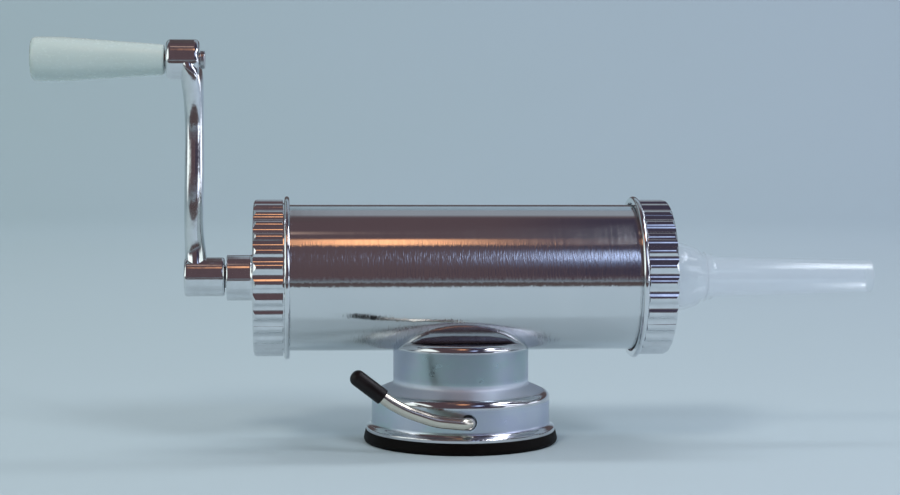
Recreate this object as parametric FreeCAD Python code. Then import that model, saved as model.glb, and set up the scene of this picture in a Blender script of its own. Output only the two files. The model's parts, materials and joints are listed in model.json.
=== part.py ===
import FreeCAD, Part
import math
import os
from FreeCAD import Vector

# A hand-cranked tabletop sausage stuffer, in millimetres.
# The origin is the middle of the suction pad's underside. +X points along the cylinder to the
# nozzle, +Z is up, and the crank side is at -X. The suction lever is on the -Y side.

# Cylinder
axis_z = 79.0
tube_outer_r = 35.0
bore_r = 32.5
tube_half_length = 94.5
tube_thread_r = 34.6
tube_thread_start = 84.5

# Ring caps
cap_mouth = 82.3
cap_end = 99.6
flange_r = 39.0
flange_thickness = 2.6
rib_count = 30
rib_crest_r = 37.4
rib_valley_r = 36.15
cap_thread_r = tube_thread_r + 0.25
gasket_thickness = 1.0
nozzle_flange_thickness = 1.8
gasket_face = tube_half_length + gasket_thickness
front_wall = gasket_face + nozzle_flange_thickness
nozzle_opening_r = 17.4
neck_r = 10.9
neck_end = 112.2
nozzle_tip = 201.5

# Screw, piston and crank
screw_r = 6.0
screw_clearance = 0.25
screw_shoulder = 82.9
journal_r = 4.0
piston_r = 32.1
piston_back = 84.0
piston_front = 93.5
piston_recess_floor = 89.5
piston_recess_r = 9.0
journal_end = piston_recess_floor + 0.1
piston_screw_depth = 78.0
crank_screw_depth = -117.0
seal_section_r = 1.5
seal_r = 32.4 - seal_section_r
m4_r = 2.0
m4_hole_r = 2.2
drive_width = 3.0
hub_r = 9.3
hub_lift = 0.5
hub_near = -113.0
hub_far = -132.2
hub_recess_r = 5.8
hub_recess_floor = -128.4
square_width = 8.4
square_far = -126.8
washer_thickness = 0.8
crank_radius = 103.5
boss_r = 9.65
boss_near = -124.6
boss_far = -140.2
spindle_r = 3.0
spindle_stub_r = 2.5
rivet_head_r = 4.3
rivet_head_near = -122.0
grip_near = -141.0
grip_far = -203.0
grip_floor = -199.7

# Suction base
pad_thickness = 5.6
lever_axis_z = 15.1
lever_rod_r = 2.9
lever_plane_y = -49.0
cam_r = 6.4
cam_throw = 2.07
cam_rest_angle = -105.0
lever_hole_r = 3.75
lever_bearing_end = 34.0
clip_groove_y = 43.25
clip_thickness = 0.8
clip_bore_r = 2.4
saddle_screw_x = 20.0
plate_underside_z = 39.4
top_z = 49.0

x_axis = Vector(1, 0, 0)
y_axis = Vector(0, 1, 0)
z_axis = Vector(0, 0, 1)


def rounded_edges(corners, closed):
    """Lines and tangent arcs along corners, each given as a point and its rounding radius."""
    count = len(corners)
    legs = []
    for i, (point, radius) in enumerate(corners):
        is_end = not closed and i in (0, count - 1)
        if radius == 0 or is_end:
            legs.append((point, None, point))
            continue
        before = (corners[i - 1][0] - point).normalize()
        after = (corners[(i + 1) % count][0] - point).normalize()
        half_angle = before.getAngle(after) / 2
        reach = radius / math.tan(half_angle)
        bisector = (before + after).normalize()
        middle = point + bisector * (radius / math.sin(half_angle) - radius)
        legs.append((point + before * reach, middle, point + after * reach))
    edges = []
    for i, (first, middle, last) in enumerate(legs):
        if middle is not None:
            edges.append(Part.Arc(first, middle, last).toShape())
        if closed or i < count - 1:
            following = legs[(i + 1) % count][0]
            if (following - last).Length > 1e-6:
                edges.append(Part.LineSegment(last, following).toShape())
    return edges


def turned(outline, origin, direction, across):
    """A solid turned about an axis, from corners of (along, radius, rounding)."""
    corners = []
    for along, radius, rounding in outline:
        corners.append((origin + direction * along + across * radius, rounding))
    face = Part.Face(Part.Wire(rounded_edges(corners, True)))
    solid = face.revolve(origin, direction, 360)
    if solid.Volume < 0:
        solid.reverse()
    return solid


def turned_x(outline, z=axis_z):
    """A turned solid about a line along X, at the cylinder's height unless told otherwise."""
    return turned(outline, Vector(0, 0, z), x_axis, z_axis)


def turned_z(outline, x=0.0):
    """A turned solid about an upright line."""
    return turned(outline, Vector(x, 0, 0), z_axis, x_axis)


def tube_x(start, end, outer_r, inner_r, chamfer_r=0.0, z=axis_z):
    """A plain ring or sleeve about a line along X, with its outer corners rounded."""
    outline = [
        (start, inner_r, 0),
        (start, outer_r, chamfer_r),
        (end, outer_r, chamfer_r),
        (end, inner_r, 0),
    ]
    return turned_x(outline, z)


def cylinder(radius, start, end):
    """A solid cylinder from one point to another."""
    run = end - start
    return Part.makeCylinder(radius, run.Length, start, run)


def cylinder_x(radius, start, end, z=axis_z):
    return cylinder(radius, Vector(start, 0, z), Vector(end, 0, z))


def cylinder_y(radius, start, end, x=0.0, z=lever_axis_z):
    return cylinder(radius, Vector(x, start, z), Vector(x, end, z))


def cylinder_z(radius, start, end, x=0.0):
    return cylinder(radius, Vector(x, 0, start), Vector(x, 0, end))


def box(x_range, y_range, z_range):
    """An upright box between two corners."""
    size = [high - low for low, high in (x_range, y_range, z_range)]
    return Part.makeBox(*size, Vector(x_range[0], y_range[0], z_range[0]))


def to_rear(shape):
    """The same shape turned half way round the upright axis, so +X becomes -X."""
    copy = shape.copy()
    copy.rotate(Vector(0, 0, 0), z_axis, 180)
    return copy


def save(name, shape):
    """Write one piece, or one group of identical pieces, to its own file."""
    if not shape.isValid():
        raise ValueError(name + " is not a valid solid")
    clean = shape.removeSplitter()
    if clean.isValid() and len(clean.Solids) == len(shape.Solids):
        shape = clean
    shape.exportStep(os.path.join("parts", name + ".step"))
    limits = shape.BoundBox
    print(
        name,
        "solids", len(shape.Solids),
        "volume", round(shape.Volume),
        "x", round(limits.XMin, 1), round(limits.XMax, 1),
        "y", round(limits.YMin, 1), round(limits.YMax, 1),
        "z", round(limits.ZMin, 1), round(limits.ZMax, 1),
    )


# ---------------------------------------------------------------- cylinder and caps


head_top_z = axis_z - bore_r - 0.1
head_bottom_z = axis_z - tube_outer_r + 0.4
head_r = 3.75


def screw_head_cone(extra):
    """The countersunk head's cone, grown by a clearance when it cuts its seat."""
    cone = Part.makeCone(
        m4_r + extra, head_r + extra, head_top_z - head_bottom_z, Vector(0, 0, head_bottom_z)
    )
    return cone


def cylinder_tube():
    """The meat cylinder: a plain tube, stepped down at both ends for the caps' threads."""
    half = tube_half_length
    step = tube_thread_start
    outline = [
        (-half, bore_r, 0),
        (-half, tube_thread_r, 0.5),
        (-step, tube_thread_r, 0),
        (-step, tube_outer_r, 0.15),
        (step, tube_outer_r, 0.15),
        (step, tube_thread_r, 0),
        (half, tube_thread_r, 0.5),
        (half, bore_r, 0),
    ]
    tube = turned_x(outline)
    for x in (-saddle_screw_x, saddle_screw_x):
        seat = screw_head_cone(0.05)
        seat.translate(Vector(x, 0, 0))
        tube = tube.cut(seat)
        tube = tube.cut(cylinder_z(head_r + 0.05, head_top_z, head_top_z + 1, x))
        tube = tube.cut(cylinder_z(m4_hole_r, head_bottom_z - 3, head_bottom_z + 0.2, x))
    return tube


def rib_outline(x):
    """The grip ribs seen from the end: crests and valleys as alternating arcs."""
    middle_r = (rib_crest_r + rib_valley_r) / 2
    step = 360.0 / (2 * rib_count)

    def at(radius, degrees):
        angle = math.radians(degrees)
        return Vector(x, radius * math.cos(angle), axis_z + radius * math.sin(angle))

    arcs = []
    for i in range(2 * rib_count):
        peak_r = rib_crest_r if i % 2 == 0 else rib_valley_r
        start = at(middle_r, (i - 0.5) * step)
        peak = at(peak_r, i * step)
        end = at(middle_r, (i + 0.5) * step)
        arcs.append(Part.Arc(start, peak, end).toShape())
    return Part.Wire(arcs)


def ring_cap_blank():
    """A ring cap facing +X before its end wall is opened: rolled flange, groove and ribs."""
    skirt_start = cap_mouth + flange_thickness + 0.5
    ribs = Part.Face(rib_outline(skirt_start)).extrude(Vector(cap_end - skirt_start, 0, 0))
    envelope = turned_x(
        [
            (skirt_start, 0, 0),
            (skirt_start, rib_crest_r + 0.1, 0.7),
            (cap_end, rib_crest_r + 0.1, 2.4),
            (cap_end, 0, 0),
        ]
    )
    groove_bottom = cylinder_x(rib_valley_r - 0.3, cap_mouth + 0.5, skirt_start + 0.5)
    flange_end = cap_mouth + flange_thickness
    flange = turned_x(
        [
            (cap_mouth, 0, 0),
            (cap_mouth, flange_r, 1.2),
            (flange_end, flange_r, 1.2),
            (flange_end, 0, 0),
        ]
    )
    return ribs.common(envelope).fuse(groove_bottom).fuse(flange)


def cap_cavity(wall_x):
    """What is bored out of a ring cap: the wide mouth and the threaded bore behind it."""
    return turned_x(
        [
            (cap_mouth - 1, 0, 0),
            (cap_mouth - 1, 36.4, 0),
            (cap_mouth + 0.4, 35.9, 0),
            (cap_mouth + 2.0, 35.9, 0),
            (cap_mouth + 3.0, cap_thread_r, 0),
            (wall_x, cap_thread_r, 0.2),
            (wall_x, 0, 0),
        ]
    )


def front_ring_cap():
    """The cap that clamps the nozzle, open in the middle of its end wall."""
    opening = turned_x(
        [
            (front_wall - 1, 0, 0),
            (front_wall - 1, nozzle_opening_r, 0),
            (cap_end - 0.6, nozzle_opening_r, 0),
            (cap_end + 0.4, nozzle_opening_r + 1.0, 0),
            (cap_end + 0.4, 0, 0),
        ]
    )
    return ring_cap_blank().cut(cap_cavity(front_wall)).cut(opening)


def rear_ring_cap():
    """The cap at the crank end, with the long neck that carries the screw's nut thread."""
    neck = turned_x(
        [
            (cap_end - 1.5, 0, 0),
            (cap_end - 1.5, neck_r + 1.2, 0),
            (cap_end, neck_r + 1.2, 0),
            (cap_end + 1.2, neck_r, 1.2),
            (neck_end, neck_r, 0.5),
            (neck_end, 0, 0),
        ]
    )
    nut_thread = cylinder_x(screw_r + screw_clearance, gasket_face - 1, neck_end + 1)
    cap = ring_cap_blank().cut(cap_cavity(gasket_face)).fuse(neck).cut(nut_thread)
    return to_rear(cap)


def gasket():
    """The flat rubber ring between a tube end and its cap."""
    return tube_x(tube_half_length, gasket_face, tube_thread_r - 0.1, bore_r)


def nozzle():
    """The clear filling nozzle: clamped flange, dome shoulder, bead and long tapered spout."""
    outline = [
        (gasket_face, 15.4, 0),
        (gasket_face, tube_thread_r, 0.3),
        (front_wall, tube_thread_r, 0.3),
        (front_wall, 17.1, 0),
        (107.0, 16.6, 8),
        (115.0, 14.0, 3.2),
        (118.6, 10.1, 0.8),
        (118.6, 11.2, 1.2),
        (122.6, 11.2, 1.2),
        (122.6, 9.9, 0.4),
        (nozzle_tip, 7.95, 0.5),
        (nozzle_tip, 6.7, 0.3),
        (122.0, 8.4, 6),
        (113.6, 12.9, 4),
        (105.5, 15.2, 6),
    ]
    return turned_x(outline)


# ---------------------------------------------------------------- screw, crank and piston


def square_end():
    """The square end of the screw that drives the crank's hub."""
    half = square_width / 2
    prism = box((square_far, hub_near), (-half, half), (axis_z - half, axis_z + half))
    return prism.common(cylinder_x(screw_r - 0.3, square_far, hub_near))


def screw_rod():
    """The feed screw at its thread's outside size, with its square end and its journal."""
    rod = cylinder_x(screw_r, hub_near, screw_shoulder)
    rod = rod.fuse(cylinder_x(journal_r, screw_shoulder, journal_end))
    rod = rod.fuse(square_end())
    rod = rod.cut(cylinder_x(m4_r, piston_screw_depth - 3, journal_end + 1))
    return rod.cut(cylinder_x(m4_r, square_far - 1, crank_screw_depth + 2))


def crank_section(z, x, width, depth, y):
    """One oval section of the crank arm."""
    stretch = FreeCAD.Matrix()
    stretch.scale(width / 2, depth / 2, 1)
    ellipse = Part.Wire(Part.makeCircle(1.0)).transformGeometry(stretch)
    ellipse.translate(Vector(x, y, axis_z + z))
    return ellipse


def crank_arm():
    """The forged crank: square-bored hub, slightly bowed oval arm and the boss for the grip."""
    boss_z = axis_z + crank_radius
    hub = tube_x(hub_far, hub_near, hub_r, 0, 1.4, axis_z + hub_lift)
    boss = tube_x(boss_far, boss_near, boss_r, 0, 2.3, boss_z)
    # height above the screw, middle in X, width, depth, offset along Y
    sections = [
        (2.0, -126.3, 11.4, 15.5, 0.0),
        (8.5, -126.7, 10.6, 12.4, 0.2),
        (13.0, -127.0, 10.0, 10.8, 0.2),
        (21.0, -127.5, 9.3, 10.6, -0.4),
        (29.0, -127.6, 9.1, 10.8, -1.1),
        (51.0, -127.3, 9.3, 10.8, -1.2),
        (75.0, -127.2, 9.0, 10.8, -0.8),
        (84.5, -127.4, 9.5, 12.4, -1.3),
        (94.0, -128.1, 10.6, 15.8, -1.7),
        (crank_radius, -130.6, 11.8, 18.4, 0.0),
    ]
    arm = Part.makeLoft([crank_section(*row) for row in sections], True)
    crank = hub.fuse(boss).fuse(arm)
    half = square_width / 2 + 0.05
    socket = box((square_far - 0.1, hub_near + 1), (-half, half), (axis_z - half, axis_z + half))
    crank = crank.cut(socket)
    crank = crank.cut(cylinder_x(m4_r + 0.3, hub_recess_floor - 1, square_far + 1))
    crank = crank.cut(cylinder_x(hub_recess_r, hub_far - 1, hub_recess_floor))
    crank = crank.cut(cylinder_x(rivet_head_r + 0.2, boss_near, rivet_head_near + 1, boss_z))
    return crank.cut(cylinder_x(spindle_stub_r, boss_far - 1, boss_near + 1, boss_z))


def crank_washer():
    return tube_x(hub_recess_floor - washer_thickness, hub_recess_floor, 5.5, m4_hole_r, 0.1)


def crank_screw():
    """The screw that holds the crank on the feed screw's square end."""
    seat = hub_recess_floor - washer_thickness
    top = seat - 2.6
    head = turned_x([(top, 0, 0), (top, 3.8, 0.9), (seat, 3.8, 0), (seat, 0, 0)])
    shank = cylinder_x(m4_r, seat, crank_screw_depth)
    drive = hexagon(drive_width, top - 0.2, top + 1.5)
    return head.fuse(shank).cut(drive)


def hexagon(across_flats, start, end):
    """A hexagonal prism about the screw's axis."""
    radius = across_flats / 2 / math.cos(math.radians(30))
    points = []
    for i in range(7):
        angle = math.radians(60 * i)
        points.append(Vector(start, radius * math.cos(angle), axis_z + radius * math.sin(angle)))
    return Part.Face(Part.makePolygon(points)).extrude(Vector(end - start, 0, 0))


def grip_spindle():
    """The pin that the grip turns on, riveted over behind the boss."""
    head_floor = grip_floor - 1.9
    collar = grip_near + 0.3
    neck = boss_near + 0.3
    outline = [
        (head_floor, 0, 0),
        (head_floor, 6.0, 0.6),
        (grip_floor - 0.2, 6.0, 0),
        (grip_floor - 0.2, spindle_r, 0),
        (collar, spindle_r, 0),
        (collar, 4.6, 0.2),
        (boss_far, 4.6, 0),
        (boss_far, spindle_stub_r, 0),
        (boss_near, spindle_stub_r, 0),
        (boss_near, 3.6, 0),
        (neck, 3.6, 0),
        (neck, rivet_head_r, 0.3),
        (rivet_head_near, rivet_head_r, 0.7),
        (rivet_head_near, 0, 0),
    ]
    return turned_x(outline, axis_z + crank_radius)


def grip():
    """The tapered plastic grip, free to turn on its spindle."""
    bore = spindle_r + 0.15
    outline = [
        (grip_far, 6.5, 0.4),
        (grip_far, 10.4, 2.5),
        (-189.0, 10.45, 60),
        (grip_near, 7.2, 1.2),
        (grip_near, bore, 0.3),
        (grip_floor, bore, 0),
        (grip_floor, 6.5, 0.3),
    ]
    return turned_x(outline, axis_z + crank_radius)


def piston():
    """The plastic piston disc, with its seal groove and the recess for its screw."""
    groove_near = (piston_back + piston_front) / 2 - seal_section_r - 0.1
    groove_far = groove_near + 2 * (seal_section_r + 0.1)
    groove_r = seal_r - seal_section_r
    bore = journal_r + 0.15
    outline = [
        (piston_back, bore, 0),
        (piston_back, piston_r, 0.8),
        (groove_near, piston_r, 0.2),
        (groove_near, groove_r, 0),
        (groove_far, groove_r, 0),
        (groove_far, piston_r, 0.2),
        (piston_front, piston_r, 0.8),
        (piston_front, piston_recess_r, 0.4),
        (piston_recess_floor, piston_recess_r, 0),
        (piston_recess_floor, bore, 0),
    ]
    return turned_x(outline)


def piston_seal():
    """The rubber ring in the piston's groove."""
    centre = Vector((piston_back + piston_front) / 2, 0, axis_z)
    return Part.makeTorus(seal_r, seal_section_r, centre, x_axis)


def thrust_washer():
    return tube_x(piston_back - 1.0, piston_back, 7.5, journal_r + 0.15, 0.15)


def piston_washer():
    return tube_x(journal_end, journal_end + 1.0, 8.0, m4_hole_r, 0.15)


def piston_screw():
    """The screw that keeps the piston on the feed screw's journal."""
    seat = journal_end + 1.0
    top = seat + 2.5
    head = turned_x([(seat, 0, 0), (seat, 4.0, 0), (top, 4.0, 1.0), (top, 0, 0)])
    shank = cylinder_x(m4_r, piston_screw_depth, seat)
    drive = hexagon(drive_width, top - 1.5, top + 0.2)
    return head.fuse(shank).cut(drive)


# ---------------------------------------------------------------- pedestal and its fasteners


def base_housing():
    """The cast pedestal: flared foot, sloping shoulder, upper drum and the tube's saddle."""
    outer = turned_z(
        [
            (pad_thickness, 0, 0),
            (pad_thickness, 45.6, 0.3),
            (7.4, 45.6, 0.8),
            (8.8, 42.9, 2.4),
            (23.6, 42.9, 3.2),
            (28.2, 32.6, 1.6),
            (top_z, 32.6, 3.0),
            (top_z, 0, 0),
        ]
    )
    cavity = turned_z(
        [
            (pad_thickness - 1, 0, 0),
            (pad_thickness - 1, 39.6, 0),
            (20.6, 39.6, 3.0),
            (25.2, 29.2, 2.0),
            (plate_underside_z, 29.2, 2.5),
            (plate_underside_z, 0, 0),
        ]
    )
    saddle = cylinder_x(tube_outer_r, -50.0, 50.0)
    housing = outer.cut(cavity)
    for side in (-1, 1):
        housing = housing.fuse(cylinder_y(6.2, side * 29.0, side * 41.0))
    housing = housing.cut(saddle)
    for side in (-1, 1):
        housing = housing.cut(cylinder_y(lever_rod_r + 0.15, side * 28.0, side * 50.0))
        housing = housing.cut(cylinder_y(lever_hole_r, side * lever_bearing_end, side * 50.0))
    for x in (-saddle_screw_x, saddle_screw_x):
        housing = housing.cut(cylinder_z(m4_hole_r, plate_underside_z - 3, top_z, x))
    return housing


def saddle_screw():
    """A countersunk screw through the tube's wall and the saddle plate."""
    shank = cylinder_z(m4_r, plate_underside_z - 6.0, head_bottom_z)
    top = cylinder_z(0.7, head_top_z - 1.4, head_top_z + 1)
    slot = box((-0.5, 0.5), (-3.0, 3.0), (head_top_z - 0.9, head_top_z + 1))
    return screw_head_cone(0).fuse(shank).cut(top).cut(slot)


def saddle_washer():
    high = plate_underside_z
    return cylinder_z(4.5, high - washer_thickness, high).cut(cylinder_z(m4_hole_r, high - 2, high + 1))


def saddle_nut():
    """A plain hexagonal nut under its washer."""
    radius = 7.0 / 2 / math.cos(math.radians(30))
    high = plate_underside_z - washer_thickness
    low = high - 3.2
    points = []
    for i in range(7):
        angle = math.radians(60 * i)
        points.append(Vector(radius * math.cos(angle), radius * math.sin(angle), low))
    prism = Part.Face(Part.makePolygon(points)).extrude(Vector(0, 0, high - low))
    barrel = turned_z(
        [(low, 0, 0), (low, 3.6, 0), (low + 0.5, 4.2, 0), (high, 4.2, 0), (high, 0, 0)]
    )
    return prism.common(barrel).cut(cylinder_z(m4_r, low - 1, high + 1))


def pair_in_saddle(piece):
    """Two identical fasteners, one at each saddle screw."""
    copies = []
    for x in (-saddle_screw_x, saddle_screw_x):
        copy = piece.copy()
        copy.translate(Vector(x, 0, 0))
        copies.append(copy)
    return Part.makeCompound(copies)


# ---------------------------------------------------------------- suction pad and lever


def suction_pad():
    """The rubber pad: thick rim under the housing, thin diaphragm, boss around the stud."""
    outline = [
        (0, 0, 0),
        (0, 46.2, 1.2),
        (1.6, 46.8, 1.5),
        (pad_thickness, 45.9, 0.5),
        (pad_thickness, 39.4, 0),
        (7.4, 39.4, 0.4),
        (7.4, 36.4, 0.4),
        (2.8, 34.0, 2.5),
        (2.8, 16.0, 1.5),
        (4.3, 14.0, 0.5),
        (4.3, 0, 0),
    ]
    return turned_z(outline).cut(stud_foot())


def stud_foot():
    """The stud's flange and stem, which the pad's rubber is moulded around."""
    return turned_z([(1.4, 0, 0), (1.4, 9, 0.4), (2.6, 9, 0.4), (2.6, 3.5, 0), (6, 3.5, 0), (6, 0, 0)])


stud_centre_z = lever_axis_z + cam_throw * math.sin(math.radians(cam_rest_angle))
cam_centre_x = cam_throw * math.cos(math.radians(cam_rest_angle))
eye_half_height = cam_r + 0.35
eye_half_width = cam_r + cam_throw + 0.4


def suction_stud():
    """The yoke that the cam lifts, with its foot moulded into the pad."""
    bar = 2.0
    half_height = eye_half_height + bar
    half_width = eye_half_width + bar + 0.4
    low = stud_centre_z - half_height
    yoke = box((-half_width, half_width), (-4.0, 4.0), (low, stud_centre_z + half_height))
    corners = [edge for edge in yoke.Edges if abs(edge.tangentAt(edge.FirstParameter).y) > 0.9]
    yoke = yoke.makeFillet(2.4, corners)
    eye = box(
        (-eye_half_width, eye_half_width),
        (-5.0, 5.0),
        (stud_centre_z - eye_half_height, stud_centre_z + eye_half_height),
    )
    return yoke.cut(eye).fuse(stud_foot().common(cylinder_z(20, 0, low + 0.5)))


def lever_cam():
    """The eccentric on the lever's rod, with a hub on one side for its cross pin."""
    disc = cylinder_y(cam_r, -5.0, 5.0, cam_centre_x, stud_centre_z)
    hub = cylinder_y(4.9, 5.0, 11.0)
    cam = disc.fuse(hub).cut(cylinder_y(lever_rod_r, -6.0, 12.0))
    return cam.cut(cam_pin())


def cam_pin():
    """The cross pin through the cam's hub and the lever's rod."""
    return cylinder(1.0, Vector(0, 8.0, lever_axis_z - 4.8), Vector(0, 8.0, lever_axis_z + 4.8))


tip_end = Vector(-54.2, lever_plane_y, 39.1)
tip_slope = math.radians(37.6)
tip_direction = Vector(-math.cos(tip_slope), 0, math.sin(tip_slope))


def lever_rod():
    """The bent rod: through the housing, round an elbow and up the long bowed arm."""
    path = [
        (Vector(0, 46.0, lever_axis_z), 0),
        (Vector(0, lever_plane_y, lever_axis_z), 4.6),
        (Vector(-15.5, lever_plane_y, lever_axis_z + 1.6), 30.0),
        (Vector(-29.0, lever_plane_y, 21.4), 45.0),
        (tip_end - tip_direction * 22.0, 40.0),
        (tip_end - tip_direction * 2.6, 0),
    ]
    spine = Part.Wire(rounded_edges(path, False))
    start = path[0][0]
    circle = Part.Wire(Part.makeCircle(lever_rod_r, start, Vector(0, -1, 0)))
    rod = spine.makePipeShell([circle], True, True)
    groove = cylinder_y(5.0, clip_groove_y, clip_groove_y + clip_thickness)
    groove = groove.cut(cylinder_y(clip_bore_r, clip_groove_y - 1, clip_groove_y + 2))
    point = turned(
        [(44.6, 5, 0), (47, 5, 0), (47, lever_rod_r - 1.4, 0), (45.2, lever_rod_r + 0.4, 0)],
        Vector(0, 0, lever_axis_z), y_axis, x_axis,
    )
    return rod.cut(groove).cut(point).cut(cam_pin())


def lever_tip():
    """The soft black cap on the end of the lever."""
    length = 18.0
    start = tip_end - tip_direction * length
    across = y_axis
    outline = [
        (0, lever_rod_r, 0),
        (0, 3.8, 0.6),
        (length, 3.8, 3.4),
        (length, 0, 0),
        (length - 2.6, 0, 0),
        (length - 2.6, lever_rod_r, 0),
    ]
    return turned(outline, start, tip_direction, across)


def lever_clip():
    """The push-on clip in the rod's groove behind the housing."""
    clip = cylinder_y(5.2, clip_groove_y, clip_groove_y + clip_thickness)
    clip = clip.cut(cylinder_y(clip_bore_r, clip_groove_y - 1, clip_groove_y + 2))
    for i in range(6):
        slit = box((-0.4, 0.4), (43.0, 45.0), (lever_axis_z, lever_axis_z + 3.8))
        slit.rotate(Vector(0, 0, lever_axis_z), y_axis, 60 * i + 30)
        clip = clip.cut(slit)
    return clip


# ---------------------------------------------------------------- the pieces, one file each


pieces = {
    "cylinder_tube": cylinder_tube(),
    "front_ring_cap": front_ring_cap(),
    "rear_ring_cap": rear_ring_cap(),
    "nozzle": nozzle(),
    "nozzle_gasket": gasket(),
    "rear_gasket": to_rear(gasket()),
    "screw_rod": screw_rod(),
    "crank_arm": crank_arm(),
    "crank_washer": crank_washer(),
    "crank_screw": crank_screw(),
    "grip": grip(),
    "grip_spindle": grip_spindle(),
    "piston": piston(),
    "piston_seal": piston_seal(),
    "thrust_washer": thrust_washer(),
    "piston_washer": piston_washer(),
    "piston_screw": piston_screw(),
    "base_housing": base_housing(),
    "saddle_screws": pair_in_saddle(saddle_screw()),
    "saddle_washers": pair_in_saddle(saddle_washer()),
    "saddle_nuts": pair_in_saddle(saddle_nut()),
    "suction_pad": suction_pad(),
    "suction_stud": suction_stud(),
    "lever_rod": lever_rod(),
    "lever_cam": lever_cam(),
    "cam_pin": cam_pin(),
    "lever_tip": lever_tip(),
    "lever_clip": lever_clip(),
}

os.makedirs("parts", exist_ok=True)
for name, shape in pieces.items():
    save(name, shape)
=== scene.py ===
import json
import math

import bmesh
import bpy
from mathutils import Matrix, Vector


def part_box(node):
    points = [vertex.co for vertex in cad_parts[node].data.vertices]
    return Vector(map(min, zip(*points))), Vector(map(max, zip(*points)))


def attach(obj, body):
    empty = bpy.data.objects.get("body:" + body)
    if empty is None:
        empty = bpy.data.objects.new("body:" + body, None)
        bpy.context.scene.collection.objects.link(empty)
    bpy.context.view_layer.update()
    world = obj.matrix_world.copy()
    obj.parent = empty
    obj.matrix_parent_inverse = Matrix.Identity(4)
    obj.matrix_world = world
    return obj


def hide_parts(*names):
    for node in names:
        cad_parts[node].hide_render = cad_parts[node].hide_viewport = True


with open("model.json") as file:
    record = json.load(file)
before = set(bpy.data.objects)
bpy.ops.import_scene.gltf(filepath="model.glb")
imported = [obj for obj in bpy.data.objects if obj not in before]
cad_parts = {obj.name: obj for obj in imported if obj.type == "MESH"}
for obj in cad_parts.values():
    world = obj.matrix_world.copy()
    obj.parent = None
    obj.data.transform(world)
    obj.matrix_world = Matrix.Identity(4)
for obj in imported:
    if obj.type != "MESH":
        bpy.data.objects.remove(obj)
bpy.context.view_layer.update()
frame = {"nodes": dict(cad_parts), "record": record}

# ---------------------------------------------------------------- sizes

MM = 0.001
tube_low, tube_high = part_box("cylinder_tube")
AXIS_Z = (tube_low.z + tube_high.z) / 2
TUBE_R = (tube_high.z - tube_low.z) / 2
TUBE_END = tube_high.x
BORE_R = 32.5 * MM

# The real threads' sizes, which the CAD carries as plain cylinders at their outside size.
SCREW_PITCH = 5.0 * MM
SCREW_R = 6.0 * MM
SCREW_ROOT_R = 4.8 * MM
SCREW_LAND = 1.5 * MM
CAP_PITCH = 3.0 * MM
TUBE_THREAD_R = 34.6 * MM
TUBE_THREAD_ROOT_R = 33.8 * MM
TUBE_THREAD_LAND = 0.9 * MM
TUBE_THREAD_START = 84.5 * MM


def link_new(name, data):
    """A new object in the scene."""
    item = bpy.data.objects.new(name, data)
    bpy.context.scene.collection.objects.link(item)
    return item


# ---------------------------------------------------------------- node tree helpers


def colour(red, green, blue):
    """A colour as the shader sockets take it, with full alpha."""
    return (red, green, blue, 1.0)


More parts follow.
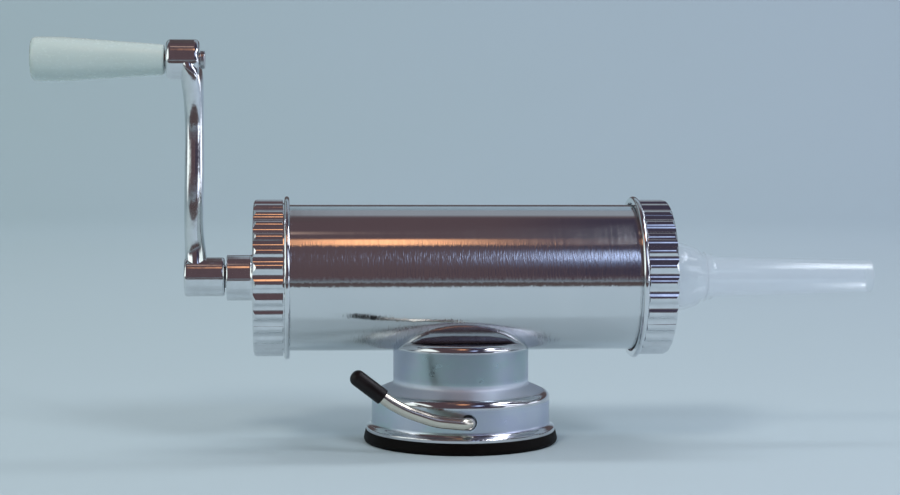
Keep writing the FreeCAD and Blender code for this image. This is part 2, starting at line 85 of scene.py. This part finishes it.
class Shader:
    """A material's node tree, with short calls for the nodes that the materials here share."""

    def __init__(self, name):
        self.material = bpy.data.materials.new(name)
        self.material.use_nodes = True
        self.tree = self.material.node_tree
        self.bsdf = next(n for n in self.tree.nodes if n.type == "BSDF_PRINCIPLED")
        self.position = self.add("ShaderNodeTexCoord").outputs["Object"]

    def add(self, kind, **settings):
        node = self.tree.nodes.new(kind)
        for key, value in settings.items():
            setattr(node, key, value)
        return node

    def link(self, source, target):
        self.tree.links.new(source, target)

    def feed(self, value, socket):
        """Link a socket's value in, or set a plain number or colour."""
        if isinstance(value, bpy.types.NodeSocket):
            self.link(value, socket)
        else:
            socket.default_value = value

    def set(self, **values):
        """Set the shader's own sockets by name, with underscores for spaces."""
        for key, value in values.items():
            self.feed(value, self.bsdf.inputs[key.replace("_", " ")])

    def math(self, operation, first, second):
        node = self.add("ShaderNodeMath", operation=operation)
        self.feed(first, node.inputs[0])
        self.feed(second, node.inputs[1])
        return node.outputs[0]

    def axes(self):
        """The position's X, Y and Z apart."""
        node = self.add("ShaderNodeSeparateXYZ")
        self.link(self.position, node.inputs[0])
        return node.outputs

    def around_cylinder(self):
        """Position unrolled round the cylinder's axis: along it, then round it, in metres."""
        parts = self.axes()
        up = self.math("SUBTRACT", parts["Z"], AXIS_Z)
        turn = self.math("ARCTAN2", parts["Y"], up)
        arc = self.math("MULTIPLY", turn, TUBE_R)
        joined = self.add("ShaderNodeCombineXYZ")
        self.link(parts["X"], joined.inputs[0])
        self.link(arc, joined.inputs[1])
        return joined.outputs[0]

    def scaled(self, factors, source=None):
        """The position, or another vector, with each axis multiplied to cycles per metre."""
        node = self.add("ShaderNodeVectorMath", operation="MULTIPLY")
        self.feed(source or self.position, node.inputs[0])
        node.inputs[1].default_value = factors
        return node.outputs[0]

    def even(self, rate):
        """The position at the same number of cycles per metre along every axis."""
        return self.scaled((rate, rate, rate))

    def noise(self, vector, detail=3.0, roughness=0.55):
        """Noise over a vector that is already in cycles."""
        node = self.add("ShaderNodeTexNoise")
        self.link(vector, node.inputs["Vector"])
        node.inputs["Scale"].default_value = 1.0
        node.inputs["Detail"].default_value = detail
        node.inputs["Roughness"].default_value = roughness
        return node.outputs["Fac"]

    def span(self, value, low, high, to_low=0.0, to_high=1.0):
        """Map a value smoothly from one range to another, held at the ends."""
        node = self.add("ShaderNodeMapRange", interpolation_type="SMOOTHSTEP")
        self.feed(value, node.inputs["Value"])
        for key, number in zip(("From Min", "From Max", "To Min", "To Max"), (low, high, to_low, to_high)):
            node.inputs[key].default_value = number
        return node.outputs["Result"]

    def blend(self, factor, first, second):
        """Mix two colours. The node's colour sockets are inputs 6 and 7 and output 2."""
        node = self.add("ShaderNodeMix", data_type="RGBA")
        self.feed(factor, node.inputs["Factor"])
        self.feed(first, node.inputs[6])
        self.feed(second, node.inputs[7])
        return node.outputs[2]

    def bump(self, height, distance, strength, under=None):
        """A bumped normal, on top of another one if it is given."""
        node = self.add("ShaderNodeBump")
        self.link(height, node.inputs["Height"])
        node.inputs["Distance"].default_value = distance
        node.inputs["Strength"].default_value = strength
        if under is not None:
            self.link(under, node.inputs["Normal"])
        return node.outputs["Normal"]


# ---------------------------------------------------------------- materials


def brushed_tube():
    """Turned aluminium: fine lines round the cylinder, with a band of short nicks that glitter."""
    nick_top = AXIS_Z + 20.0 * MM
    nick_full = AXIS_Z + 15.5 * MM
    s = Shader("brushed_tube")
    unrolled = s.around_cylinder()
    bands = s.noise(s.scaled((420.0, 3.0, 1.0), unrolled))
    strokes = s.noise(s.scaled((1500.0, 110.0, 1.0), unrolled), roughness=0.6)
    smears = s.noise(s.scaled((38.0, 26.0, 26.0)))
    tint = s.blend(smears, colour(0.72, 0.74, 0.755), colour(0.79, 0.80, 0.805))
    s.set(Base_Color=tint, Metallic=1.0, Anisotropic=0.9, Anisotropic_Rotation=0.25)
    banded = s.span(bands, 0.3, 0.7, 0.105, 0.14)
    stroked = s.span(strokes, 0.55, 0.75, 0.0, 0.05)
    s.set(Roughness=s.math("ADD", banded, stroked))
    tangent = s.add("ShaderNodeTangent", direction_type="RADIAL", axis="X")
    s.link(tangent.outputs[0], s.bsdf.inputs["Tangent"])
    rubbed = s.span(s.axes()["Z"], nick_top, nick_full)
    marks = s.span(s.noise(s.scaled((1400.0, 190.0, 1.0), unrolled), detail=1.0), 0.46, 0.68)
    nicks = s.math("MULTIPLY", marks, rubbed)
    s.set(Normal=s.bump(nicks, 0.024 * MM, 1.0, s.bump(strokes, 0.008 * MM, 0.5)))
    return s.material


def chrome(name, tint, roughness, ripple):
    """Polished plate over a casting: slow ripples, faint pits and a little grime in its sheen."""
    s = Shader(name)
    waves = s.noise(s.even(120.0), detail=2.0)
    pits = s.noise(s.even(1400.0))
    haze = s.noise(s.even(220.0), detail=4.0, roughness=0.6)
    dull = [channel * 0.94 for channel in tint]
    s.set(Base_Color=s.blend(s.span(haze, 0.35, 0.65), colour(*tint), colour(*dull)), Metallic=1.0)
    s.set(Roughness=s.span(haze, 0.35, 0.75, roughness, roughness + 0.05))
    slow = s.bump(waves, ripple, 0.5)
    s.set(Normal=s.bump(s.span(pits, 0.62, 0.75), 0.01 * MM, 0.35, slow))
    return s.material


def satin_housing():
    """Passivated plate: satin walls with a faint oily tint, polished at the rim, shoulder and foot; painted
    shade darkens the upper drum wall and a painted sheen lightens the collar.
    """
    s = Shader("housing_satin")
    wander = s.span(s.noise(s.scaled((70.0, 70.0, 20.0)), detail=2.0), 0.3, 0.7, -0.12 * MM, 0.12 * MM)
    level = s.math("ADD", s.axes()["Z"], wander)
    clouds = s.noise(s.scaled((55.0, 55.0, 90.0)), detail=4.0, roughness=0.6)
    film = s.noise(s.scaled((24.0, 24.0, 36.0)), detail=2.0)
    grain = s.noise(s.even(900.0))

    # where each finish lies, and where the painted shade and painted sheen go, by height above the worktop
    foot = s.span(level, 9.6 * MM, 8.6 * MM)
    shoulder = s.math("MULTIPLY", s.span(level, 20.2 * MM, 21.6 * MM), s.span(level, 25.4 * MM, 24.2 * MM))
    collar = s.math("MULTIPLY", s.span(level, 24.0 * MM, 25.5 * MM), s.span(level, 31.0 * MM, 29.6 * MM))
    # painted shade: from 29.5 mm up, the drum wall is darkened by up to 30 per cent towards a dark blue-grey
    painted_drum_shade = s.span(level, 29.5 * MM, 32.5 * MM, 0.0, 0.30)
    rim = s.span(level, 44.9 * MM, 46.0 * MM)
    polish = s.math("MAXIMUM", s.math("MAXIMUM", rim, shoulder), foot)

    pearl = s.blend(s.span(film, 0.40, 0.60), colour(0.50, 0.62, 0.63), colour(0.53, 0.56, 0.69))
    satin = s.blend(s.span(clouds, 0.38, 0.7), pearl, colour(0.56, 0.60, 0.69))
    # the painted drum shade is laid on the walls here
    walls = s.blend(painted_drum_shade, satin, colour(0.12, 0.14, 0.20))
    # painted sheen: the collar's slope is lightened to a pale blue-grey, standing for the brighter light it
    # reflects
    walls_with_painted_light = s.blend(collar, walls, colour(0.76, 0.80, 0.87))
    s.set(Base_Color=s.blend(polish, walls_with_painted_light, colour(0.63, 0.62, 0.64)), Metallic=1.0)

    rough = s.span(clouds, 0.3, 0.7, 0.27, 0.37)
    dulled = s.math("MULTIPLY", rough, s.span(collar, 0.0, 1.0, 1.0, 1.9))
    s.set(Roughness=s.math("MULTIPLY", dulled, s.span(polish, 0.0, 1.0, 1.0, 0.30)))
    pebbles = s.bump(grain, 0.02 * MM, 0.35)
    s.set(Normal=s.bump(clouds, 0.07 * MM, 0.3, pebbles))
    return s.material


def frosted_nozzle():
    """Moulded translucent plastic: milky and see-through, with a smooth outer skin."""
    s = Shader("nozzle_clear")
    clouds = s.noise(s.scaled((40.0, 90.0, 90.0)), detail=2.0)
    scuffs = s.noise(s.scaled((300.0, 900.0, 900.0)))
    s.set(Base_Color=s.blend(clouds, colour(0.80, 0.86, 0.98), colour(0.85, 0.90, 0.99)), Alpha=0.145)
    s.set(Roughness=s.span(scuffs, 0.4, 0.75, 0.09, 0.12))
    s.set(Specular_IOR_Level=1.0, Coat_Weight=1.0, Coat_Roughness=0.04, Coat_IOR=1.8)
    return s.material


def white_grip():
    """Glossy white plastic, a little translucent, with faint moulding flow marks."""
    s = Shader("grip_white")
    flow = s.noise(s.scaled((30.0, 140.0, 140.0)))
    scuffs = s.noise(s.scaled((500.0, 900.0, 900.0)), detail=4.0, roughness=0.6)
    s.set(Base_Color=s.blend(flow, colour(0.58, 0.67, 0.63), colour(0.63, 0.70, 0.67)))
    s.set(Roughness=s.span(scuffs, 0.45, 0.8, 0.24, 0.34))
    s.set(Subsurface_Weight=0.25, Subsurface_Radius=(0.004, 0.0035, 0.003), Subsurface_Scale=1.0)
    s.set(Coat_Weight=0.4, Coat_Roughness=0.12)
    s.set(Normal=s.bump(flow, 0.02 * MM, 0.2))
    return s.material


def rubber(name, tint, roughness, bloom, shine):
    """Moulded rubber or vinyl with a fine skin, and patches rubbed paler by a little bloom."""
    s = Shader(name)
    skin = s.noise(s.even(1800.0))
    rubbed = s.noise(s.even(160.0), detail=4.0, roughness=0.6)
    worn = [channel * 1.6 + bloom for channel in tint]
    s.set(Base_Color=s.blend(s.span(rubbed, 0.45, 0.8), colour(*tint), colour(*worn)))
    s.set(Roughness=s.span(rubbed, 0.3, 0.7, roughness, roughness + 0.14), Specular_IOR_Level=shine)
    s.set(Normal=s.bump(skin, 0.02 * MM, 0.4))
    return s.material


def machined_steel(name, tint, line_rates):
    """Cut or rolled steel: fine tool lines, with a slightly uneven sheen."""
    s = Shader(name)
    lines = s.noise(s.scaled(line_rates), detail=2.0)
    stain = s.noise(s.even(140.0), detail=4.0, roughness=0.6)
    dark = [channel * 0.8 for channel in tint]
    s.set(Base_Color=s.blend(s.span(stain, 0.35, 0.7), colour(*tint), colour(*dark)), Metallic=1.0)
    s.set(Roughness=s.span(stain, 0.3, 0.7, 0.24, 0.38))
    s.set(Normal=s.bump(lines, 0.01 * MM, 0.5))
    return s.material


def matte_piston():
    """Moulded white plastic with a slightly grained face."""
    s = Shader("piston_white")
    grain = s.noise(s.even(900.0))
    tone = s.noise(s.even(60.0))
    s.set(Base_Color=s.blend(tone, colour(0.78, 0.79, 0.76), colour(0.84, 0.84, 0.82)))
    s.set(Roughness=s.span(grain, 0.3, 0.7, 0.42, 0.55))
    s.set(Normal=s.bump(grain, 0.03 * MM, 0.3))
    return s.material


def pale_stage():
    """The plain pale floor and backdrop, with painted light: greener on one side, bluer and lighter on the
    other.
    """
    s = Shader("pale_stage")
    # painted light: colour runs from a greener, darker side at -X to a bluer, lighter side at +X, with slow
    # noise
    painted_side_light = s.math("ADD", s.axes()["X"], s.noise(s.even(0.8), detail=2.0))
    s.set(Base_Color=s.blend(s.span(painted_side_light, -0.8, 1.8), colour(0.505, 0.60, 0.605), colour(0.56, 0.635, 0.71)))
    s.set(Roughness=0.85)
    return s.material


finishes = {
    "brushed_tube": brushed_tube(),
    "cap_chrome": chrome("cap_chrome", (0.80, 0.81, 0.83), 0.07, 0.05 * MM),
    "crank_chrome": chrome("crank_chrome", (0.78, 0.79, 0.81), 0.08, 0.12 * MM),
    "housing_satin": satin_housing(),
    "nozzle_clear": frosted_nozzle(),
    "grip_white": white_grip(),
    "piston_white": matte_piston(),
    "gasket_rubber": rubber("gasket_rubber", (0.40, 0.40, 0.38), 0.5, 0.0, 0.28),
    "pad_rubber": rubber("pad_rubber", (0.004, 0.0025, 0.002), 0.5, 0.001, 0.08),
    "tip_vinyl": rubber("tip_vinyl", (0.007, 0.004, 0.004), 0.3, 0.002, 0.22),
    "rod_nickel": chrome("rod_nickel", (0.72, 0.66, 0.56), 0.21, 0.03 * MM),
    "screw_steel": machined_steel("screw_steel", (0.60, 0.61, 0.63), (300.0, 2600.0, 2600.0)),
    "fastener_steel": machined_steel("fastener_steel", (0.58, 0.59, 0.61), (1200.0, 1200.0, 1200.0)),
}

slot_of_node = {row["node"]: row["material_slot"] for row in frame["record"]["subparts"]}


def dress(piece, slot_name):
    """Give a piece its finish and nothing else."""
    piece.data.materials.clear()
    piece.data.materials.append(finishes[slot_name])


for node_name, node in frame["nodes"].items():
    dress(node, slot_of_node[node_name])


# ---------------------------------------------------------------- threads


def round_axis(x, radius, angle):
    """A point round the cylinder's axis, with the angle from the top towards -Y."""
    return (x, -radius * math.sin(angle), AXIS_Z + radius * math.cos(angle))


def axis_ring(mesh, x, radius, segments):
    """Vertices on a circle about the cylinder's axis, or the one on the axis for no radius."""
    if radius == 0:
        return [mesh.verts.new((x, 0, AXIS_Z))]
    ring = []
    for j in range(segments):
        ring.append(mesh.verts.new(round_axis(x, radius, 2 * math.pi * j / segments)))
    return ring


def helical_surface(rows, pitch, turns, segments, start):
    """A right-hand helical surface about X: rows are (along, radius) breakpoints in one pitch."""
    mesh = bmesh.new()
    per_turn = len(rows)
    grid = []
    for i in range(turns * per_turn + 1):
        along, radius = rows[i % per_turn]
        along += pitch * (i // per_turn)
        ring = []
        for j in range(segments):
            share = j / segments
            x = start + along + pitch * share
            ring.append(mesh.verts.new(round_axis(x, radius, 2 * math.pi * share)))
        grid.append(ring)
    for i in range(len(grid) - 1):
        for j in range(segments):
            far = j + 1 == segments
            low = i + per_turn if far else i
            if low + 1 >= len(grid):
                continue
            k = 0 if far else j + 1
            mesh.faces.new((grid[i][j], grid[i + 1][j], grid[low + 1][k], grid[low][k]))
    return mesh


def cut_to(mesh, low, high):
    """Keep what lies between two planes across X."""
    for x, outward in ((low, -1.0), (high, 1.0)):
        every = list(mesh.verts) + list(mesh.edges) + list(mesh.faces)
        bmesh.ops.bisect_plane(
            mesh, geom=every, plane_co=(x, 0, 0), plane_no=(outward, 0, 0), clear_outer=True
        )
    bmesh.ops.remove_doubles(mesh, verts=mesh.verts, dist=0.001 * MM)


def open_edges_at(mesh, x):
    """The boundary edges that lie in a plane across X."""
    near = 0.01 * MM
    return [e for e in mesh.edges if e.is_boundary and all(abs(v.co.x - x) < near for v in e.verts)]


def cut_thread(rows, pitch, low, high, segments):
    """A helical surface from one plane across X to another, open at both ends."""
    run_in = 1.4 * pitch
    spare_turns = 3
    turns = math.ceil((high - low) / pitch) + spare_turns
    mesh = helical_surface(rows, pitch, turns, segments, low - run_in)
    cut_to(mesh, low, high)
    return mesh


def thread_rows(pitch, outer_r, root_r, land):
    """One pitch of a trapezoid thread: equal lands at crest and root, corners slightly eased."""
    flank = pitch / 2 - land
    ease_along = flank * 0.15
    ease_out = (outer_r - root_r) * 0.12
    crest = land + flank
    back = crest + land
    return [
        (0.0, root_r),
        (land, root_r),
        (land + ease_along, root_r + ease_out),
        (crest - ease_along, outer_r - ease_out),
        (crest, outer_r),
        (back, outer_r),
        (back + ease_along, outer_r - ease_out),
        (pitch - ease_along, root_r + ease_out),
    ]


def turned_shell(mesh, outline, segments):
    """Add a closed solid of revolution about the cylinder's axis, from (along, radius) points."""
    rings = [axis_ring(mesh, x, radius, segments) for x, radius in outline]
    for first, second in zip(rings, rings[1:]):
        for j in range(segments):
            k = (j + 1) % segments
            corners = []
            for ring, index in ((first, j), (second, j), (second, k), (first, k)):
                corners.append(ring[index % len(ring)])
            unique = list(dict.fromkeys(corners))
            if len(unique) > 2:
                mesh.faces.new(unique)


def square_bar(mesh, low, high, half, corner_r):
    """Add a closed bar along the cylinder's axis: a square with its corners cut off."""
    section = []
    for i in range(4):
        for side in (-1, 1):
            angle = math.radians(90 * i) + side * math.acos(half / corner_r)
            section.append((corner_r * math.cos(angle), corner_r * math.sin(angle)))
    ends = []
    for x in (low, high):
        ends.append([mesh.verts.new((x, y, AXIS_Z + z)) for y, z in section])
    mesh.faces.new(ends[0])
    mesh.faces.new(ends[1])
    for i in range(len(section)):
        k = (i + 1) % len(section)
        mesh.faces.new((ends[0][i], ends[0][k], ends[1][k], ends[1][i]))


def finish_mesh(mesh, name, slot_name, body):
    """Turn a bmesh into a named piece that rides on a body."""
    sharp_from = math.radians(32.0)
    bmesh.ops.recalc_face_normals(mesh, faces=mesh.faces)
    data = bpy.data.meshes.new(name)
    mesh.to_mesh(data)
    mesh.free()
    piece = link_new(name, data)
    data.shade_smooth()
    data.set_sharp_from_angle(angle=sharp_from)
    dress(piece, slot_name)
    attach(piece, body)
    return piece


def threaded_screw():
    """The feed screw with its real thread, plain shoulder, journal and square end."""
    low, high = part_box("screw_rod")
    thread_low = -113.5 * MM
    thread_high = 72.0 * MM
    shoulder = 82.9 * MM
    journal_r = 4.0 * MM
    chamfer = 0.6 * MM
    lap = 0.2 * MM
    plain_r = SCREW_R - 0.05 * MM
    rows = thread_rows(SCREW_PITCH, SCREW_R, SCREW_ROOT_R, SCREW_LAND)
    mesh = cut_thread(rows, SCREW_PITCH, thread_low, thread_high, segments=48)
    for x in (thread_low, thread_high):
        bmesh.ops.contextual_create(mesh, geom=open_edges_at(mesh, x))
    outline = [
        (thread_high - lap, 0),
        (thread_high - lap, SCREW_ROOT_R),
        (thread_high + chamfer, plain_r),
        (shoulder - chamfer, plain_r),
        (shoulder, plain_r - chamfer),
        (shoulder, journal_r),
        (high.x - chamfer, journal_r),
        (high.x, journal_r - chamfer),
        (high.x, 0),
    ]
    turned_shell(mesh, outline, segments=64)
    square_bar(mesh, low.x, thread_low + lap, half=4.1 * MM, corner_r=5.6 * MM)
    piece = finish_mesh(mesh, "threaded_feed_screw", "screw_steel", "screw_and_crank")
    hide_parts("screw_rod")


def threaded_cylinder():
    """The meat cylinder with its real end threads in place of the plain steps."""
    segments = 144
    lap = 0.05 * MM
    mesh = bmesh.new()
    mesh.from_mesh(frame["nodes"]["cylinder_tube"].data)
    cut_to(mesh, -TUBE_THREAD_START, TUBE_THREAD_START)
    for x in (-TUBE_THREAD_START, TUBE_THREAD_START):
        bmesh.ops.bridge_loops(mesh, edges=open_edges_at(mesh, x))
    rows = thread_rows(CAP_PITCH, TUBE_THREAD_R, TUBE_THREAD_ROOT_R, TUBE_THREAD_LAND)
    for side in (-1, 1):
        low, high = sorted((side * (TUBE_THREAD_START - lap), side * TUBE_END))
        part = cut_thread(rows, CAP_PITCH, low, high, segments)
        sleeve = [axis_ring(part, x, BORE_R, segments) for x in (low, high)]
        for j in range(segments):
            k = (j + 1) % segments
            part.faces.new((sleeve[0][j], sleeve[0][k], sleeve[1][k], sleeve[1][j]))
        for x in (low, high):
            bmesh.ops.bridge_loops(part, edges=open_edges_at(part, x))
        data = bpy.data.meshes.new("thread_part")
        part.to_mesh(data)
        part.free()
        mesh.from_mesh(data)
        bpy.data.meshes.remove(data)
    piece = finish_mesh(mesh, "threaded_cylinder", "brushed_tube", "stand")
    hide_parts("cylinder_tube")


threaded_screw()
threaded_cylinder()


# ---------------------------------------------------------------- stage, in metres


def sweep_floor():
    """A round pale floor that curves up into a backdrop on every side."""
    flat_r = 2.1
    bend_r = 1.5
    bend_steps = 24
    wall_top = 3.4
    segments = 96
    outline = [(0.0, 0.0), (0.4, 0.0), (1.0, 0.0)]
    for i in range(bend_steps + 1):
        angle = math.radians(90 * i / bend_steps)
        outline.append((flat_r + bend_r * math.sin(angle), bend_r * (1 - math.cos(angle))))
    outline.append((flat_r + bend_r, wall_top))
    mesh = bmesh.new()
    rings = []
    for radius, z in outline:
        if radius == 0:
            rings.append([mesh.verts.new((0, 0, 0))])
            continue
        ring = []
        for j in range(segments):
            angle = 2 * math.pi * j / segments
            ring.append(mesh.verts.new((radius * math.cos(angle), radius * math.sin(angle), z)))
        rings.append(ring)
    for first, second in zip(rings, rings[1:]):
        for j in range(segments):
            k = (j + 1) % segments
            corners = [first[j % len(first)], second[j], second[k], first[k % len(first)]]
            mesh.faces.new(list(dict.fromkeys(corners)))
    data = bpy.data.meshes.new("stage_floor")
    mesh.to_mesh(data)
    mesh.free()
    data.shade_smooth()
    data.materials.append(pale_stage())
    link_new("stage_floor", data)


def glow(name, tint):
    """An emitting material for the cards, faded where a card's presence says."""
    material = bpy.data.materials.new(name)
    material.use_nodes = True
    tree = material.node_tree
    tree.nodes.clear()
    emission = tree.nodes.new("ShaderNodeEmission")
    emission.inputs["Color"].default_value = colour(*tint)
    emission.inputs["Strength"].default_value = 1.0
    clear = tree.nodes.new("ShaderNodeBsdfTransparent")
    presence = tree.nodes.new("ShaderNodeAttribute")
    presence.attribute_name = "presence"
    mixed = tree.nodes.new("ShaderNodeMixShader")
    output = tree.nodes.new("ShaderNodeOutputMaterial")
    tree.links.new(presence.outputs["Fac"], mixed.inputs[0])
    tree.links.new(clear.outputs[0], mixed.inputs[1])
    tree.links.new(emission.outputs[0], mixed.inputs[2])
    tree.links.new(mixed.outputs[0], output.inputs["Surface"])
    return material


def only_in_reflections(card):
    """Make a card part of the stage, seen by nothing but reflections."""
    card.visible_camera = False
    card.visible_diffuse = False
    card.visible_transmission = False
    card.visible_volume_scatter = False
    card.visible_shadow = False


def between(ends, share):
    """The value at a share of the way from one end to the other."""
    return ends[0] + (ends[1] - ends[0]) * share


def soft_card(name, place, tint, softness):
    """A glowing card whose grid points come from place(u, v), faded towards its four edges."""
    steps = 32
    mesh = bmesh.new()
    grid = []
    fade = []
    for i in range(steps + 1):
        column = []
        for j in range(steps + 1):
            u = i / steps
            v = j / steps
            column.append(mesh.verts.new(place(u, v)))
            amount = 1.0
            for share, soft in ((min(u, 1 - u), softness[0]), (min(v, 1 - v), softness[1])):
                if soft > 0:
                    reach = min(share / soft, 1.0)
                    amount *= reach * reach * (3 - 2 * reach)
            fade.append(amount)
        grid.append(column)
    for i in range(steps):
        for j in range(steps):
            mesh.faces.new((grid[i][j], grid[i + 1][j], grid[i + 1][j + 1], grid[i][j + 1]))
    data = bpy.data.meshes.new(name)
    mesh.to_mesh(data)
    mesh.free()
    data.attributes.new("presence", "FLOAT", "POINT").data.foreach_set("value", fade)
    data.materials.append(glow(name, tint))
    only_in_reflections(link_new(name, data))


def room_card(name, radius, azimuths, elevations, tint, softness):
    """Part of a sphere round the object. Azimuth 0 is behind the camera and 90 to its left;
    elevation runs up from the front horizon and over the top."""

    def place(u, v):
        side = math.radians(between(azimuths, u))
        rise = math.radians(between(elevations, v))
        reach = radius * math.cos(side)
        return (-radius * math.sin(side), -reach * math.cos(rise), AXIS_Z + reach * math.sin(rise))

    soft_card(name, place, tint, softness)


def side_card(name, x, y_range, z_range, tint):
    """An upright card across X, at one side of the object."""

    def place(u, v):
        return (x, between(y_range, u), between(z_range, v))

    soft_card(name, place, tint, softness=(0.3, 0.3))


def level_card(name, height, x_range, y_range, tint, softness):
    """A flat card at one height."""

    def place(u, v):
        return (between(x_range, u), between(y_range, v), height)

    soft_card(name, place, tint, softness)


def area_light(name, place, aim, size, power, tint):
    """A soft lamp that reflections don't show, since the cards stand for the lamps there."""
    data = bpy.data.lights.new(name, "AREA")
    data.shape = "RECTANGLE"
    data.size, data.size_y = size
    data.energy = power
    data.color = tint
    lamp = link_new(name, data)
    lamp.location = place
    lamp.rotation_mode = "QUATERNION"
    lamp.rotation_quaternion = (Vector(aim) - Vector(place)).to_track_quat("-Z", "Y")
    lamp.visible_glossy = False
    lamp.visible_camera = False


def light_world():
    """A dim, slightly blue light from everywhere."""
    world = bpy.data.worlds.new("studio")
    world.use_nodes = True
    background = next(n for n in world.node_tree.nodes if n.type == "BACKGROUND")
    background.inputs["Color"].default_value = colour(0.80, 0.88, 1.0)
    background.inputs["Strength"].default_value = 0.38
    bpy.context.scene.world = world


def light_scene():
    """Soft lamps over the pale sweep, and a room of cards for the shiny parts to reflect."""
    middle = (0, 0, AXIS_Z)
    area_light("overhead_soft", (0.1, 0.0, 2.4), (0, 0.1, 0), (2.4, 1.8), 4.0, (0.97, 0.98, 1.0))
    area_light("window_right", (0.95, -1.25, 1.35), middle, (0.6, 0.5), 12.5, (0.86, 0.92, 1.0))
    area_light("lamp_left", (-0.75, -1.15, 1.55), middle, (0.5, 0.4), 10.0, (1.0, 0.97, 0.90))
    area_light("backdrop_wash", (0.0, 0.9, 2.8), (0, 2.6, 0.6), (2.6, 0.8), 35.0, (0.90, 0.96, 1.0))

    # the dim room
    room_card("room_dark", 1.75, (-90, 90), (-3, 120), (0.108, 0.074, 0.084), (0.0, 0.05))
    room_card("room_left_top", 1.73, (4.5, 17), (100, 152), (0.095, 0.075, 0.080), (0.1, 0.1))
    room_card("room_right", 1.70, (-88, -8), (2, 114), (0.050, 0.044, 0.072), (0.06, 0.05))
    room_card("room_rear", 1.72, (-80, 80), (152, 177), (0.105, 0.085, 0.090), (0.1, 0.3))

    # lamps and windows in it
    room_card("lamp_strip", 1.6, (-7.5, 8.5), (54, 68), (2.0, 0.95, 0.48), (0.42, 0.30))
    room_card("lamp_left_line", 1.58, (4, 14), (74, 82), (0.6, 0.42, 0.35), (0.3, 0.4))
    room_card("window_panel", 1.6, (-22, -7), (16, 54), (0.24, 0.30, 0.50), (0.40, 0.45))
    room_card("window_core", 1.59, (-23, -12), (26, 49), (0.95, 1.15, 1.70), (0.35, 0.45))
    level_card("ceiling_panel", 0.55, (0.28, 0.47), (-0.30, 0.10), (9.5, 10.0, 11.0), (0.30, 0.12))
    room_card("right_window", 1.6, (-90, -30), (24, 56), (2.2, 2.4, 2.8), (0.2, 0.25))
    room_card("right_low_window", 1.6, (-90, -50), (-6, 9), (1.6, 1.75, 2.0), (0.1, 0.25))
    room_card("left_window", 1.6, (38, 88), (4, 98), (1.35, 1.50, 1.45), (0.15, 0.18))
    side_card("side_right", 1.6, (-0.1, 0.95), (0.0, 0.36), (1.7, 1.8, 2.0))
    side_card("side_left", -1.6, (-0.5, 0.3), (0.0, 0.45), (1.1, 1.2, 1.2))

    # the darker floor in front
    level_card("room_floor", 0.4 * MM, (-1.6, 1.6), (-1.65, -0.44), (0.090, 0.068, 0.070), (0.1, 0.06))


def set_camera():
    """The camera's place, turn in radians and lens for the reference view."""
    place = (-83.6 * MM, -917.5 * MM, 155.2 * MM)
    yaw = 0.085
    pitch = 0.067
    roll = 0.004
    forward = Vector((math.sin(yaw) * math.cos(pitch), math.cos(yaw) * math.cos(pitch), -math.sin(pitch)))
    level = Vector((math.cos(yaw), -math.sin(yaw), 0))
    upright = level.cross(forward)
    right = math.cos(roll) * level + math.sin(roll) * upright
    up = right.cross(forward)
    data = bpy.data.cameras.new("reference_camera")
    data.sensor_width = 36.0
    data.lens = 76.72
    camera = link_new("reference_camera", data)
    turn = Matrix((right, up, -forward)).transposed().to_4x4()
    camera.matrix_world = Matrix.Translation(place) @ turn
    bpy.context.scene.camera = camera


sweep_floor()
light_world()
light_scene()
set_camera()
bpy.context.scene.view_settings.view_transform = "Standard"
